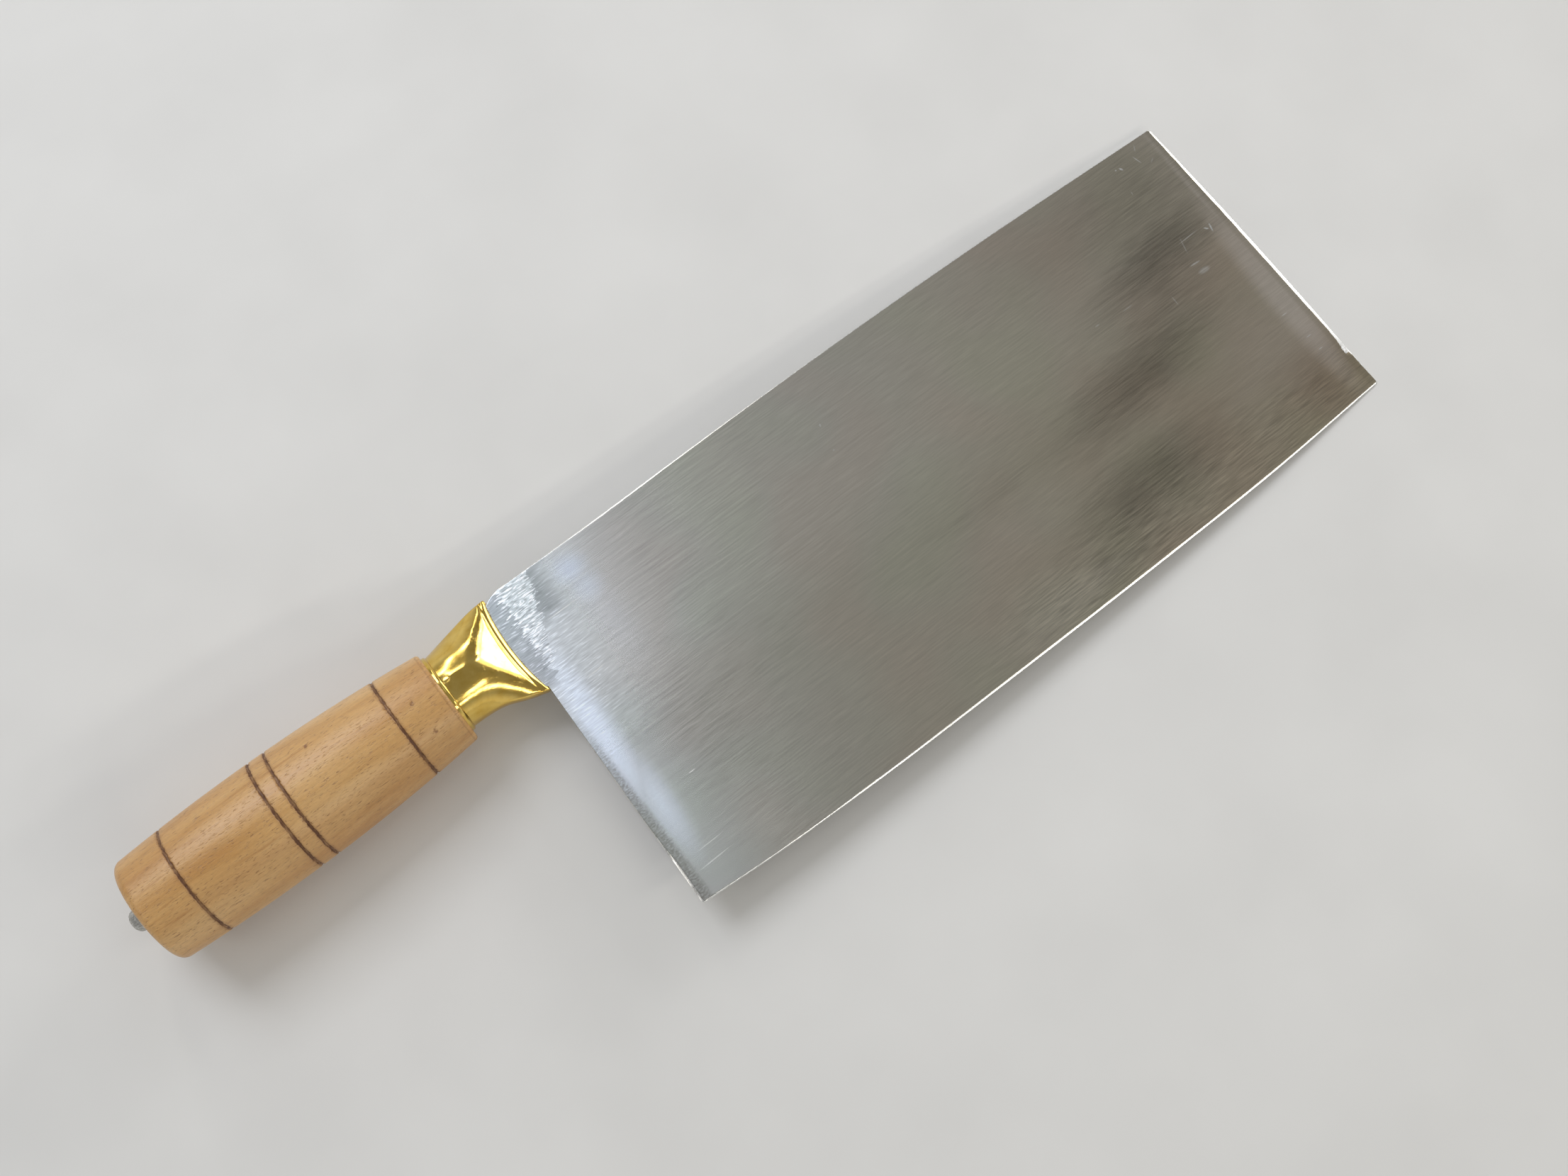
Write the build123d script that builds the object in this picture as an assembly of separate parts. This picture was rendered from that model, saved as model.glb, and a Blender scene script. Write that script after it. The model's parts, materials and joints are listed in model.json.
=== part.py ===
"""A chinese cleaver lying on its side: a broad steel blade, a cast brass ferrule and a turned wooden handle.

Every piece is drawn in the knife's own frame and laid down at the end. In the knife's frame X runs along
the handle's axis to the front end of the blade, counted from the front end of the wood, Y runs to the
spine and Z stands out of the cheek that faces up. All lengths are in millimetres.
"""

from build123d import *
import math
import os

# Blade outline

heel_x = 19.5
heel_top_x = 21.4
heel_bottom = -79.8
front_x = 250.4
front_top = 13.6
front_bottom = -81.7
spine_curve = [(28.0, 14.9), (54.0, 15.0), (84.0, 15.6), (135.0, 16.15), (184.0, 15.75), (249.0, 13.9)]
edge_curve = [(21.0, -79.95), (41.0, -81.5), (73.0, -82.75), (120.0, -83.45), (170.0, -83.7), (210.0, -83.4)]
edge_curve += [(249.2, -81.8)]
tip_corner = (249.65, 13.65)
tip_corner_end = (250.0, 13.1)
toe_corner = (249.65, -81.65)
toe_corner_end = (249.85, -81.3)
heel_corner = (19.85, -79.65)
heel_corner_end = (19.55, -78.7)
shoulder_middle = (23.3, 14.4)

# Blade thickness: each cheek is ground to one plane in front of the mouth; the tongue is left as rolled

thickness_at_heel = 2.4
thickness_at_tip = 2.2
thickness_at_edge = 0.6
blade_depth = 97.0
edge_bevel_angle = 15.0
front_bevel_angle = 30.0
front_land = 0.6
tongue_thickness = 2.5
cheek_start = 0.25

# Tongue of the blade inside the ferrule: half widths at the mouth, inside the throat and at the weld

tongue_at_mouth = 13.4
tongue_in_throat = 11.0
tongue_at_weld = 4.5
tongue_throat_x = 16.6
tongue_shoulder_x = 13.5
tongue_end_x = 6.0

# Ferrule: stations along the axis, each with the height of the middle ridge and the reach of its flanks

ferrule_stations = [
    # x, middle ridge, towards the spine, towards the edge, fullness of the four sides
    (0.0, 10.25, 10.8, 9.8, 0.180),
    (4.0, 9.80, 11.6, 9.8, 0.150),
    (10.3, 8.90, 13.0, 10.4, 0.085),
    (16.5, 7.60, 14.3, 12.8, 0.050),
    (21.4, 6.40, 14.7, 14.3, 0.030),
]
ferrule_middle = 0.5
flank_half_width = 1.9
flank_swell = 0.06
mouth_middle_x = 19.6
mouth_reach_x = 21.2
mouth_half_height = 14.2
mouth_half_thickness = 2.0
ridge_end_x = 10.3
ridge_end_height = 8.9
ferrule_bore_radius = 7.6
ferrule_bore_depth = 6.0
base_ring_radius = 11.1
base_ring_length = 1.1
base_ring_edge = 0.66
throat_x = 18.0
throat_half_width = 1.5
slot_clearance = 0.05

# Handle: a barrel turned to one long arc, with burnt lines and a tenon that enters the ferrule

handle_length = 86.8
handle_radius = 15.5
widest_x = -50.5
handle_arc_radius = 490.0
front_edge_radius = 0.9
butt_edge_radius = 2.2
groove_places = (-13.1, -43.4, -48.0, -73.5)
groove_radius = 0.55
tenon_radius = 7.5
tenon_length = 5.8
bore_radius = 3.5

# Tang, its weld slot, the washer and the riveted end

tang_radius = 3.0
tang_front_x = 14.0
tang_end_x = -91.3
tang_end_radius = 1.2
washer_radius = 5.6
washer_thickness = 1.0
washer_edge_radius = 0.4
rivet_radius = 3.7
rivet_height = 1.6
rivet_edge_radius = 1.28

# Cement that sets the tang

cement_depth = 22.0


def on_axis(start_x, radius, length):
    """A round bar along the handle's axis, from start_x towards the blade."""
    bar = Cylinder(radius, length, align=(Align.CENTER, Align.CENTER, Align.MIN))
    return Plane.YZ.offset(start_x) * bar


def outer_rim(solid, x):
    """The largest round edge that lies across the axis at a place."""
    rims = solid.edges().filter_by(GeomType.CIRCLE).filter_by_position(Axis.X, x - 0.01, x + 0.01)
    return rims.sort_by(SortBy.RADIUS)[-1]


def cheek_height(x, y):
    """Half the blade's thickness at a place on the cheek."""
    along = (thickness_at_tip - thickness_at_heel) / 2 * (x - heel_x) / (front_x - heel_x)
    across = (thickness_at_heel - thickness_at_edge) / 2 * (y - front_top) / blade_depth
    return thickness_at_heel / 2 + along + across


def blade_cheek(side):
    """The plane of one cheek, side +1 for the upper cheek and -1 for the lower one."""
    along = cheek_height(1, 0) - cheek_height(0, 0)
    across = cheek_height(0, 1) - cheek_height(0, 0)
    return Plane(origin=(0, 0, side * cheek_height(0, 0)), z_dir=(-along, -across, side))


def tongue_edge(clearance):
    """One side of the tongue, from the mouth to the weld, widened by a clearance."""
    return [
        (heel_top_x, tongue_at_mouth + clearance),
        (tongue_throat_x, tongue_in_throat + clearance),
        (tongue_shoulder_x, tongue_at_weld + clearance),
        (tongue_end_x, tongue_at_weld + clearance),
    ]


def blade_outline():
    """Spine, front end, cutting edge and heel as one closed face, with the tongue that enters the ferrule."""
    spine = Spline(*spine_curve)
    edge = Spline(*edge_curve)
    front_middle = (front_x, (front_top + front_bottom) / 2)
    tongue_top = tongue_edge(0)
    tongue_bottom = [(x, -y) for x, y in tongue_top]
    outline = [
        spine,
        ThreePointArc(spine @ 1, tip_corner, tip_corner_end),
        ThreePointArc(tip_corner_end, front_middle, toe_corner_end),
        ThreePointArc(toe_corner_end, toe_corner, edge @ 1),
        edge,
        ThreePointArc(edge @ 0, heel_corner, heel_corner_end),
        Polyline(heel_corner_end, *tongue_bottom, *reversed(tongue_top)),
        ThreePointArc(tongue_top[0], shoulder_middle, spine @ 0),
    ]
    return make_face(outline)


def bevelled(boundary, land, angle):
    """A slab behind an open boundary curve, bevelled from a land in the middle plane to both cheeks."""
    margin = 60.0
    start_run = Line((boundary @ 0) - (boundary % 0) * margin, boundary @ 0)
    end_run = Line(boundary @ 1, (boundary @ 1) + (boundary % 1) * margin)
    inward = Vector(-(boundary % 0.5).Y, (boundary % 0.5).X) * margin * 6
    rest = Polyline(end_run @ 1, (end_run @ 1) + inward, (start_run @ 0) + inward, start_run @ 0)
    region = make_face([start_run, boundary, end_run, rest])
    bevel = Pos(0, 0, land / 2) * extrude(region, amount=thickness_at_heel, taper=90 - angle)
    slab = bevel + mirror(bevel, about=Plane.XY)
    if land > 0:
        slab += extrude(region, amount=land / 2, both=True)
    return slab


def behind_mouth():
    """The space that the tongue fills, up to the line where the ground cheeks start."""
    length = mouth_reach_x + cheek_start
    space = Pos(length / 2, 0, 0) * Box(length, 2 * tongue_at_mouth, 2 * tongue_thickness)
    return space - mouth_cut(cheek_start)


def make_blade():
    """Plate ground to a wedge between two planes, with bevels along the cutting edge and the front end."""
    outline = blade_outline()
    plate = extrude(outline, amount=tongue_thickness, both=True) - behind_mouth()
    for side in (1, -1):
        plate = split(plate, bisect_by=blade_cheek(side), keep=Keep.BOTTOM)
    front_middle = (front_x, (front_top + front_bottom) / 2)
    front = ThreePointArc(toe_corner_end, front_middle, tip_corner_end)
    edge = Spline(*edge_curve)
    plate = plate & bevelled(edge, 0, edge_bevel_angle) & bevelled(front, front_land, front_bevel_angle)
    tongue = extrude(outline, amount=tongue_thickness / 2, both=True) & behind_mouth()
    return plate + tongue


def ferrule_section(x, ridge, top, bottom, fullness):
    """One cross-section: four full sides that meet in a middle ridge on each cheek, and two narrow flanks."""
    flank = flank_half_width
    corners = [(ferrule_middle, ridge), (top, flank), (top, -flank)]
    corners += [(ferrule_middle, -ridge), (-bottom, -flank), (-bottom, flank)]
    sides = []
    for index, start in enumerate(corners):
        end = corners[(index + 1) % len(corners)]
        across = (end[0] - start[0], end[1] - start[1])
        swell = flank_swell if start[0] == end[0] else fullness
        bulge = ((start[0] + end[0]) / 2 - across[1] * swell, (start[1] + end[1]) / 2 + across[0] * swell)
        sides.append(ThreePointArc(start, bulge, end))
    return Plane.YZ.offset(x) * make_face(sides)


def mouth_radius():
    """The radius of the mouth's line, which bows towards the handle between the two horns."""
    reach = mouth_reach_x - mouth_middle_x
    return (mouth_half_height**2 + reach**2) / (2 * reach)


def shoulder_cut(side):
    """The dished shoulder that falls from the end of the middle ridge to the lip on the blade."""
    radius = mouth_radius()
    slope = (mouth_middle_x - ridge_end_x) / (ridge_end_height - mouth_half_thickness)
    height = 2 * ridge_end_height
    cone = Cone(radius, radius + slope * height, height, align=(Align.CENTER, Align.CENTER, Align.MIN))
    cone = Pos(mouth_middle_x + radius, 0, mouth_half_thickness) * cone
    return cone if side > 0 else mirror(cone, about=Plane.XY)


def mouth_cut(distance=0):
    """Everything in front of the mouth's line, or of a line at a distance in front of it."""
    return Pos(mouth_middle_x + distance + mouth_radius(), 0, 0) * Cylinder(mouth_radius(), 4 * ridge_end_height)


def ferrule_hollow():
    """A round bore for the wooden tenon that flattens into an oval throat behind the mouth."""
    bore = on_axis(0, ferrule_bore_radius, ferrule_bore_depth)
    round_end = Plane.YZ.offset(ferrule_bore_depth) * Circle(ferrule_bore_radius)
    throat = Plane.YZ.offset(throat_x) * Ellipse(tongue_in_throat, throat_half_width)
    return bore + loft([round_end, throat])


def blade_slot():
    """The slot in the ferrule's throat and mouth, a hair wider than the tongue."""
    top = tongue_edge(slot_clearance)
    bottom = [(x, -y) for x, y in top]
    open_end = front_x
    outline = Polyline(*top, *reversed(bottom), (open_end, bottom[0][1]), (open_end, top[0][1]), top[0])
    return extrude(make_face(outline), amount=tongue_thickness / 2 + slot_clearance, both=True)


def base_ring():
    """The rounded ring at the ferrule's foot, which sits on the wood."""
    ring = Pos(0, ferrule_middle, 0) * on_axis(0, base_ring_radius, base_ring_length)
    return fillet(outer_rim(ring, base_ring_length), base_ring_edge)


def make_ferrule():
    """Cast brass shell: round neck, two pointed horns and a dished shoulder on each cheek."""
    shell = loft([ferrule_section(*station) for station in ferrule_stations])
    shell -= shoulder_cut(1)
    shell -= shoulder_cut(-1)
    shell -= mouth_cut()
    shell += base_ring()
    shell -= ferrule_hollow()
    return shell - blade_slot()


def wood_radius(x):
    """The barrel's radius at a place along the handle."""
    return handle_radius - handle_arc_radius + math.sqrt(handle_arc_radius**2 - (x - widest_x) ** 2)


def make_handle():
    """Wood turned to a slight barrel, bored through, with four burnt lines and a tenon at the front."""
    butt_x = -handle_length
    butt_rim = (butt_x, wood_radius(butt_x))
    front_rim = (0, wood_radius(0))
    tenon = [(0, tenon_radius), (tenon_length, tenon_radius), (tenon_length, 0)]
    barrel = ThreePointArc(butt_rim, (widest_x, handle_radius), front_rim)
    wood = revolve(make_face([barrel, Polyline(front_rim, *tenon, (butt_x, 0), butt_rim)]), axis=Axis.X)
    wood = fillet(outer_rim(wood, butt_x), butt_edge_radius)
    wood = fillet(outer_rim(wood, 0), front_edge_radius)
    for place in groove_places:
        ring = Pos(place, 0, 0) * (Plane.YZ * Torus(wood_radius(place), groove_radius))
        wood -= ring
    return wood - on_axis(butt_x, bore_radius, handle_length + tenon_length)


def make_tang(blade):
    """Steel rod, slotted and welded over the blade's tongue, and hammered over the washer at the butt."""
    washer_x = -handle_length - washer_thickness
    rod = on_axis(tang_end_x, tang_radius, tang_front_x - tang_end_x)
    head = on_axis(washer_x - rivet_height, rivet_radius, rivet_height)
    rod += fillet(outer_rim(head, washer_x - rivet_height), rivet_edge_radius)
    return fillet(outer_rim(rod, tang_end_x), tang_end_radius) - blade


def make_washer():
    """Flat steel washer between the wood and the tang's hammered end."""
    washer_x = -handle_length - washer_thickness
    washer = on_axis(washer_x, washer_radius, washer_thickness)
    washer -= on_axis(washer_x, tang_radius, washer_thickness)
    return fillet(outer_rim(washer, washer_x), washer_edge_radius)


def make_cement(blade, tang):
    """The cement that fills the ferrule behind the tongue and sets the tang in the first part of the bore."""
    throat = ferrule_hollow() - on_axis(0, ferrule_bore_radius, tenon_length)
    sleeve = on_axis(tenon_length - cement_depth, bore_radius, cement_depth)
    return throat + sleeve - tang - blade


def rest_pose():
    """Lays the knife down on the barrel of the handle and on both corners of the blade's front end."""
    top_corner = cheek_height(front_x, front_top)
    bottom_corner = cheek_height(front_x, front_bottom)
    roll = math.atan2(top_corner - bottom_corner, front_top - front_bottom)
    corner_z = front_top * math.sin(roll) - top_corner * math.cos(roll)
    arc_z = handle_arc_radius - handle_radius
    run = front_x - widest_x
    distance = math.hypot(run, corner_z - arc_z)
    pitch = math.atan2(corner_z - arc_z, run) + math.asin(handle_arc_radius / distance)
    return Rot(0, math.degrees(pitch), 0) * Rot(math.degrees(roll), 0, 0)


def build():
    """Every piece in the rest pose, with the origin at the middle of the box's floor."""
    blade = make_blade()
    tang = make_tang(blade)
    pieces = {
        "blade": blade,
        "ferrule": make_ferrule(),
        "handle": make_handle(),
        "tang": tang,
        "butt_washer": make_washer(),
        "cement": make_cement(blade, tang),
    }
    laid = {name: rest_pose() * piece for name, piece in pieces.items()}
    boxes = [piece.bounding_box() for piece in laid.values()]
    low_x = min(box.min.X for box in boxes)
    high_x = max(box.max.X for box in boxes)
    low_y = min(box.min.Y for box in boxes)
    high_y = max(box.max.Y for box in boxes)
    floor_z = min(box.min.Z for box in boxes)
    to_origin = Pos(-(low_x + high_x) / 2, -(low_y + high_y) / 2, -floor_z)
    return {name: to_origin * piece for name, piece in laid.items()}


os.makedirs("parts", exist_ok=True)
for node, solid in build().items():
    export_step(solid, f"parts/{node}.step")
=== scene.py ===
import json
import math

import bpy
from mathutils import Matrix, Vector, noise


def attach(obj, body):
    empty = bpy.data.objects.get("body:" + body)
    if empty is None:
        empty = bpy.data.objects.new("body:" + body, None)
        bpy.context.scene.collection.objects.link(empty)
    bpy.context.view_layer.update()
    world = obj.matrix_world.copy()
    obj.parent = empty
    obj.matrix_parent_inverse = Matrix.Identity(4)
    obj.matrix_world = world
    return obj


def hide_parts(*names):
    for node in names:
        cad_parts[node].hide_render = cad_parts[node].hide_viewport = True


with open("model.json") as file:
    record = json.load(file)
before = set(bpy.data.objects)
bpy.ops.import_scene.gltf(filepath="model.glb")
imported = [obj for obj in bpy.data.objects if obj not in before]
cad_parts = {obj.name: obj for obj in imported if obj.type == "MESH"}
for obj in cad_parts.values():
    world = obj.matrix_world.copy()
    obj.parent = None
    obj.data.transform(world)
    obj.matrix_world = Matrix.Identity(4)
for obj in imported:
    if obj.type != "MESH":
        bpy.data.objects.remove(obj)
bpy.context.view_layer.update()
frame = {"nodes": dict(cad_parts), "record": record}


# Blade
# A broad sheet of stainless cutlery steel: cut out, belt-ground along its length to a thin wedge, then given
# a bevel along the cutting edge and a hand-filed one down the front end. Its tongue enters the ferrule.

millimetre = 0.001
mounts = {mount["name"]: mount for mount in frame["record"]["mounts"]}
to_front = Vector(mounts["block_slot"]["axis"]).normalized()
between_cheeks = Vector(mounts["upper_cheek"]["axis"]) - Vector(mounts["lower_cheek"]["axis"])
to_sky = between_cheeks.normalized()
to_spine = to_sky.cross(to_front)

# The knife is drawn in millimetres from the middle of the wood's front end: x to the front end of the blade,
# y to the spine, z out of the upper cheek. The grip's mount lies on that axis, where the wood is widest.
wood_widest_x = -50.5
wood_front = Vector(mounts["grip"]["pos_m"]) - to_front * wood_widest_x * millimetre
knife_axes = Matrix((to_front, to_spine, to_sky)).transposed()
knife_frame = Matrix.Translation(wood_front) @ (knife_axes * millimetre).to_4x4()

mouth_corner_x, mouth_corner_y, mouth_corner_slack = 21.27, 13.4, 0.01
blade_shoulder = [(mouth_corner_x, mouth_corner_y), (23.3, 14.4), (28.0, 14.9)]
blade_spine = [(28.0, 14.9), (54.0, 15.0), (84.0, 15.6), (135.0, 16.15), (184.0, 15.75), (249.0, 13.9)]
blade_tip = [(249.0, 13.9), (249.65, 13.65), (250.0, 13.1)]
blade_front = [(249.85, -81.3), (250.4, -34.1), (250.0, 13.1)]
blade_toe = [(249.2, -81.8), (249.65, -81.65), (249.85, -81.3)]
blade_edge = [(21.0, -79.95), (41.0, -81.5), (73.0, -82.75), (120.0, -83.45), (170.0, -83.7), (210.0, -83.4)]
blade_edge += [(249.2, -81.8)]
blade_heel_corner = [(19.55, -78.7), (19.85, -79.65), (21.0, -79.95)]
heel_x, front_x = 19.5, 250.4
spine_y = 13.6
blade_depth = 97.0
thickness_at_heel, thickness_at_tip, thickness_at_edge = 2.4, 2.2, 0.6
edge_apex = 0.03
edge_bevel_at_heel, edge_bevel_in_front = 31.0, 22.0
edge_bevel_even_from_x = 115.0
edge_thinned, edge_thinned_from = 0.04, 8.0
front_land, front_land_share = 0.56, 0.5
front_bevel_width, front_bevel_left_over = 0.95, 0.35
front_bevel_end = (-71.5, -69.9)
front_bevel_swell, front_bevel_swells_over = 0.7, (-65.0, -70.0)
spine_ease, spine_ease_slope = 0.15, 0.5
heel_ease_width, heel_chamfer_width = 0.12, 0.75
heel_chamfer_grows_over = (-58.0, -72.0)
heel_rim_share = 0.45
cheek_wave, cheek_wave_seed, cheek_wave_length, cheek_wave_squash = 0.015, 3.0, 34.0, 1.6
cheek_wave_at_edge = 0.01
bevel_counts_from = 0.004
kept_inside = 0.02
mouth_middle_x = 19.6
mouth_radius = 63.81
tongue_start_x = 19.85
tongue_half_thickness = 1.25
tongue_rear = [(16.6, 11.0), (13.5, 4.5), (6.0, 4.5), (6.0, -4.5), (13.5, -4.5), (16.6, -11.0)]
row_length, column_length, blade_step = 230.0, 96.0, 1.05
rim_steps = (0.0, 0.1, 0.22, 0.36, 0.5, 0.64, 0.78, 0.92, 1.06, 1.2, 1.35, 1.5, 1.75, 2.2)
corner_steps, half_corner = 12, 6
curve_steps, mouth_steps, front_steps = 24, 32, 96

# How a hand-held tool wanders: share of the cut, seed, length of the waves.
edge_waves = ((0.08, 5.0, 9.0), (0.05, 6.0, 2.2))
front_waves = ((0.12, 8.0, 13.0), (0.09, 9.0, 3.0))
chamfer_waves = ((0.35, 12.0, 2.5),)
rim_waves = ((0.3, 14.0, 1.8),)


def arc_through(start, middle, end, count):
    """Points on the arc through three points, in the plane."""
    ax, ay, bx, by, cx, cy = *start, *middle, *end
    d = 2 * (ax * (by - cy) + bx * (cy - ay) + cx * (ay - by))
    a2, b2, c2 = ax * ax + ay * ay, bx * bx + by * by, cx * cx + cy * cy
    ox = (a2 * (by - cy) + b2 * (cy - ay) + c2 * (ay - by)) / d
    oy = (a2 * (cx - bx) + b2 * (ax - cx) + c2 * (bx - ax)) / d
    radius = math.hypot(ax - ox, ay - oy)
    first, way, last = (math.atan2(y - oy, x - ox) for x, y in (start, middle, end))
    turn = (last - first) % math.tau
    if (way - first) % math.tau > turn:
        turn -= math.tau
    angles = [first + turn * step / count for step in range(count + 1)]
    return [(ox + radius * math.cos(angle), oy + radius * math.sin(angle)) for angle in angles]


def lengths_along(path):
    """How far along a path each of its points lies."""
    lengths = [0.0]
    for before, after in zip(path, path[1:]):
        lengths.append(lengths[-1] + math.dist(before, after))
    return lengths


def curve_through(points, count):
    """Points on the smooth curve through measured ones, with count steps between each two of them."""
    knots = lengths_along(points)
    runs = [after - before for before, after in zip(knots, knots[1:])]
    secants = [
        [(b - a) / run for a, b in zip(before, after)] for before, after, run in zip(points, points[1:], runs)
    ]
    slopes = [secants[0]]
    for left, right, before, after in zip(runs, runs[1:], secants, secants[1:]):
        slopes.append([(a * right + b * left) / (left + right) for a, b in zip(before, after)])
    slopes.append(secants[-1])
    curve = []
    for index, run in enumerate(runs):
        ends = (points[index], slopes[index], points[index + 1], slopes[index + 1])
        for t in (step / count for step in range(count)):
            rise = 3 * t**2 - 2 * t**3
            shares = (1 - rise, run * (t**3 - 2 * t**2 + t), rise, run * (t**3 - t**2))
            curve.append(tuple(sum(a * b for a, b in zip(shares, values)) for values in zip(*ends)))
    return curve + [tuple(points[-1])]


def spaced(path, fractions):
    """Points at given fractions of a path's length."""
    lengths = lengths_along(path)
    found, index = [], 0
    for fraction in fractions:
        want = fraction * lengths[-1]
        while index < len(path) - 2 and lengths[index + 1] < want:
            index += 1
        part = (want - lengths[index]) / max(lengths[index + 1] - lengths[index], 1e-9)
        found.append(tuple(a + (b - a) * part for a, b in zip(path[index], path[index + 1])))
    return found


def fractions_along(length, end_steps, step):
    """Fractions of a length that stand close together near both of its ends."""
    inner = length - 2 * end_steps[-1]
    count = round(inner / step)
    places = [*end_steps, *(end_steps[-1] + inner * n / count for n in range(1, count))]
    places += [length - place for place in reversed(end_steps)]
    return [place / length for place in places]


def uneven(x, y, seed, size):
    """A smooth random value between -1 and 1, that changes over a size in millimetres."""
    return noise.noise(Vector((x / size, y / size, seed)))


def wander(place, waves):
    """A factor about 1 that wanders along a line."""
    return 1 + sum(share * uneven(place, 0.0, seed, length) for share, seed, length in waves)


def smooth_between(low, high, value):
    """0 below a low value, 1 above a high one and smooth between them."""
    part = min(max((value - low) / (high - low), 0.0), 1.0)
    return part * part * (3 - 2 * part)


def blade_height(x, y, from_edge, from_spine, from_heel, from_front):
    """Half the thickness of the finished blade, and whether a bevel or a rim has been cut there."""
    thinner_at_tip = (thickness_at_heel - thickness_at_tip) / 2 * (x - heel_x) / (front_x - heel_x)
    thinner_at_edge = (thickness_at_heel - thickness_at_edge) / 2 * (spine_y - y) / blade_depth
    cheek = thickness_at_heel / 2 - thinner_at_tip - thinner_at_edge
    wave = uneven(x, y * cheek_wave_squash, cheek_wave_seed, cheek_wave_length)
    height = cheek - cheek_wave * (1 + wave) / 2
    cheek = max(cheek, thickness_at_edge / 2)
    height = max(height, thickness_at_edge / 2 - cheek_wave_at_edge)
    height -= edge_thinned * smooth_between(edge_thinned_from, 0.0, from_edge)
    even = smooth_between(heel_x, edge_bevel_even_from_x, x)
    angle = edge_bevel_at_heel + (edge_bevel_in_front - edge_bevel_at_heel) * even
    cut = edge_apex + math.tan(math.radians(angle * wander(x, edge_waves))) * from_edge
    width = front_bevel_width * wander(y, front_waves)
    width *= 1 + front_bevel_swell * smooth_between(*front_bevel_swells_over, y)
    width = front_bevel_left_over + (width - front_bevel_left_over) * smooth_between(*front_bevel_end, y)
    land = min(front_land, front_land_share * cheek)
    cut = min(cut, cheek - (cheek - land) * (width - from_front) / front_bevel_width)
    cut = min(cut, cheek - spine_ease + spine_ease_slope * from_spine)
    chamfer = smooth_between(*heel_chamfer_grows_over, y) * wander(y, chamfer_waves)
    ease = heel_ease_width + (heel_chamfer_width - heel_ease_width) * max(chamfer, 0.0)
    if abs(y) > mouth_corner_y:
        from_rim = from_heel / (ease * wander(y, rim_waves))
        cut = min(cut, cheek * (heel_rim_share + (1 - heel_rim_share) * from_rim))
    return (cut, True) if cut < height - bevel_counts_from else (height, False)


# The outline's four sides meet in the middle of each corner's arc, and at the mouth's corner to the spine.
tip_arc = arc_through(*blade_tip, corner_steps)
toe_arc = arc_through(*blade_toe, corner_steps)
heel_arc = arc_through(*blade_heel_corner, corner_steps)
spine_side = arc_through(*blade_shoulder, corner_steps)[:-1] + curve_through(blade_spine, curve_steps)[:-1]
spine_side += tip_arc[:half_corner + 1]
front_side = toe_arc[half_corner:-1] + arc_through(*blade_front, front_steps)[:-1]
front_side += tip_arc[:half_corner - 1:-1]
front_side = [(x - kept_inside, y) for x, y in front_side]
edge_side = heel_arc[half_corner:-1] + curve_through(blade_edge, curve_steps)[:-1] + toe_arc[:half_corner + 1]
edge_side = [(x, y + kept_inside) for x, y in edge_side]
heel_side = heel_arc[half_corner::-1] + arc_through(
    (mouth_corner_x, -mouth_corner_y), (tongue_start_x, 0.0), (mouth_corner_x, mouth_corner_y), mouth_steps)
edge_side[-1], front_side[-1], heel_side[0] = front_side[0], spine_side[-1], edge_side[0]

length_fractions = fractions_along(row_length, rim_steps, blade_step)
depth_fractions = fractions_along(column_length, rim_steps, blade_step)
spine_row, edge_row = spaced(spine_side, length_fractions), spaced(edge_side, length_fractions)
heel_column, front_column = spaced(heel_side, depth_fractions), spaced(front_side, depth_fractions)
columns, rows = len(length_fractions), len(depth_fractions)
flat = {}
for i, u in enumerate(length_fractions):
    for j, v in enumerate(depth_fractions):
        flat[i, j] = tuple(
            (1 - v) * edge_row[i][axis] + v * spine_row[i][axis]
            + (1 - u) * heel_column[j][axis] + u * front_column[j][axis]
            - (1 - u) * (1 - v) * edge_row[0][axis] - u * (1 - v) * edge_row[-1][axis]
            - (1 - u) * v * spine_row[0][axis] - u * v * spine_row[-1][axis]
            for axis in range(2)
        )

blade_points, blade_cut = [], []
for side in (1, -1):
    for i in range(columns):
        for j in range(rows):
            rims = (flat[i, 0], flat[i, rows - 1], flat[0, j], flat[columns - 1, j])
            height, cut = blade_height(*flat[i, j], *(math.dist(flat[i, j], rim) for rim in rims))
            blade_points.append((*flat[i, j], side * height))
            blade_cut.append(cut)


def prism_faces(first, count, sides):
    """Both ends and some sides of a prism, whose ends are two rings of points that follow each other."""
    faces = [tuple(range(first, first + count)), tuple(range(first + 2 * count - 1, first + count - 1, -1))]
    for n in sides:
        following = (n + 1) % count
        faces.append((first + n, first + n + count, first + following + count, first + following))
    return faces


blade_faces, blade_finish = [], []
lower = columns * rows
for i in range(columns - 1):
    for j in range(rows - 1):
        quad = (i * rows + j, (i + 1) * rows + j, (i + 1) * rows + j + 1, i * rows + j + 1)
        blade_faces += [quad, tuple(corner + lower for corner in reversed(quad))]
        blade_finish += [int(sum(blade_cut[corner] for corner in quad) > 2)] * 2

# The tongue keeps the thickness of the sheet: it begins with a hair's step in front of the ferrule's mouth.
# Its front corners stand on the first column of the cheeks, where no wall closes the blade between them.
joined = [j for j in range(rows) if abs(flat[0, j][1]) <= mouth_corner_y + mouth_corner_slack]
rim = [i * rows for i in range(columns)] + [(columns - 1) * rows + j for j in range(1, rows)]
rim += [i * rows + rows - 1 for i in range(columns - 2, -1, -1)] + [j for j in range(rows - 2, 0, -1)]
for here, following in zip(rim, rim[1:] + rim[:1]):
    if here not in joined or following not in joined:
        blade_faces.append((here, here + lower, following + lower, following))
tongue_line = [flat[0, j] for j in joined] + tongue_rear
first, count, front_count = len(blade_points), len(tongue_line), len(joined)
for side in (1, -1):
    blade_points += [(x, y, side * tongue_half_thickness) for x, y in tongue_line]
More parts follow.
